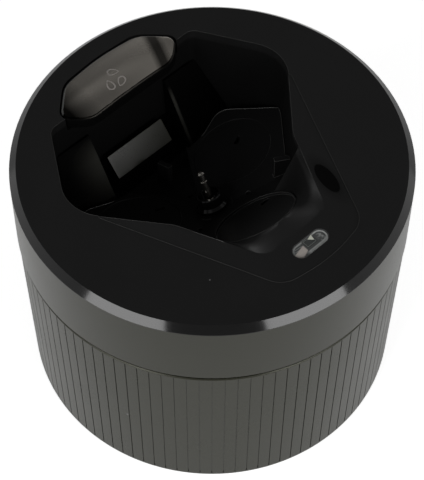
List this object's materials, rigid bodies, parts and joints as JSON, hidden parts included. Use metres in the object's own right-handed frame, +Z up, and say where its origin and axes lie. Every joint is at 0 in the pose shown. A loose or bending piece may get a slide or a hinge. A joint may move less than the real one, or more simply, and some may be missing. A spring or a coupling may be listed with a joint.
{
  "type": "shaver cleaning station",
  "caption": "Round desk-top cleaning station for a rotary shaver, with a leaning cradle and spindle in a deep well, a rear start button, a front lamp window and a removable cartridge.",
  "frame": {"origin": "centre of the standing plane, under the four feet", "axes": "+Z up, -Y towards the front with the lamp window, +Y towards the rear with the start button"},
  "size_m": [0.12, 0.12, 0.0931],
  "materials": {
    "grooved_shell": "satin",
    "collar_satin": "satin",
    "deck_black": "fine matte with a gloss chamfer",
    "button_gloss": "gloss",
    "tray_grey": "satin",
    "rest_black": "satin",
    "inner_black": "moulded",
    "tank_smoke": "smooth",
    "lid_grey": "moulded",
    "clear": "clear plastic",
    "seal_rubber": "soft",
    "steel": "ground",
    "screw_steel": "zinc plated",
    "gear_white": "moulded acetal",
    "bush_brass": "turned",
    "board_green": "solder mask",
    "lamp_milky": "clear lamp",
    "felt": "felt"
  },
  "bodies": {
    "base": {"base_shell": "grooved_shell", "rubber_feet": "seal_rubber"},
    "ring": {"lock_ring": "inner_black"},
    "cartridge": {"cartridge_tank": "tank_smoke", "cartridge_lid": "lid_grey", "cartridge_filter": "felt", "port_seal": "seal_rubber"},
    "spindle": {"spindle_shaft": "steel", "spindle_hub": "button_gloss", "drive_gear": "gear_white"},
    "idler": {"idler_gear": "gear_white"},
    "button": {"start_button": "button_gloss"},
    "plunger": {"switch_plunger": "gear_white"},
    "head": {"head_bowl": "inner_black", "head_gasket": "seal_rubber", "drain_strainer": "steel", "collar_ring": "collar_satin", "cover_screws": "screw_steel", "deck_cover": "deck_black", "cradle_tray": "tray_grey", "back_rest": "rest_black", "rest_block": "rest_black", "spindle_bush": "bush_brass", "shaft_seal": "seal_rubber", "pump_housing": "inner_black", "pump_gasket": "seal_rubber", "pump_cover": "inner_black", "idler_pin": "steel", "pump_screws": "screw_steel", "intake_tube": "lid_grey", "intake_strainer": "lid_grey", "button_bracket": "inner_black", "button_hinge_pin": "steel", "button_spring": "steel", "switch_body": "inner_black", "bracket_screws": "screw_steel", "clear_window": "clear", "indicator_lamp": "lamp_milky", "control_board": "board_green", "board_screws": "screw_steel", "cell_holder": "inner_black", "coin_cells": "steel"}
  },
  "joints": [
    {"name": "lock_turn", "type": "hinge", "parent": "base", "child": "ring", "pos_m": [0, 0, 0.053], "axis": [0, 0, 1], "range_deg": [0, 20]},
    {"name": "head_lift", "type": "slide", "parent": "ring", "child": "head", "axis": [0, 0, 1], "range_m": [0, 0.1]},
    {"name": "cartridge_lift", "type": "slide", "parent": "base", "child": "cartridge", "axis": [0, 0, 1], "range_m": [0, 0.05]},
    {"name": "spindle_spin", "type": "hinge", "parent": "head", "child": "spindle", "pos_m": [0, -0.0005, 0.0662], "axis": [0, 0.4384, 0.8988], "continuous": true},
    {"name": "idler_spin", "type": "hinge", "parent": "head", "child": "idler", "pos_m": [0, -0.00958, 0.07063], "axis": [0, 0.4384, 0.8988], "continuous": true},
    {"name": "button_press", "type": "hinge", "parent": "head", "child": "button", "pos_m": [0, 0.0516, 0.0848], "axis": [1, 0, 0], "range_deg": [0, 4], "stiffness_Nm_per_rad": 0.08, "springref_deg": -6.88, "deforming": ["button_spring"]},
    {"name": "switch_press", "type": "slide", "parent": "head", "child": "plunger", "axis": [0, 0, -1], "range_m": [0, 0.0004]}
  ],
  "couplings": [
    {"joint": "cartridge_lift", "follows": "head_lift", "ratio": 0.5},
    {"joint": "idler_spin", "follows": "spindle_spin", "ratio": -1},
    {"joint": "switch_press", "follows": "button_press", "m_per_rad": 0.0056}
  ]
}
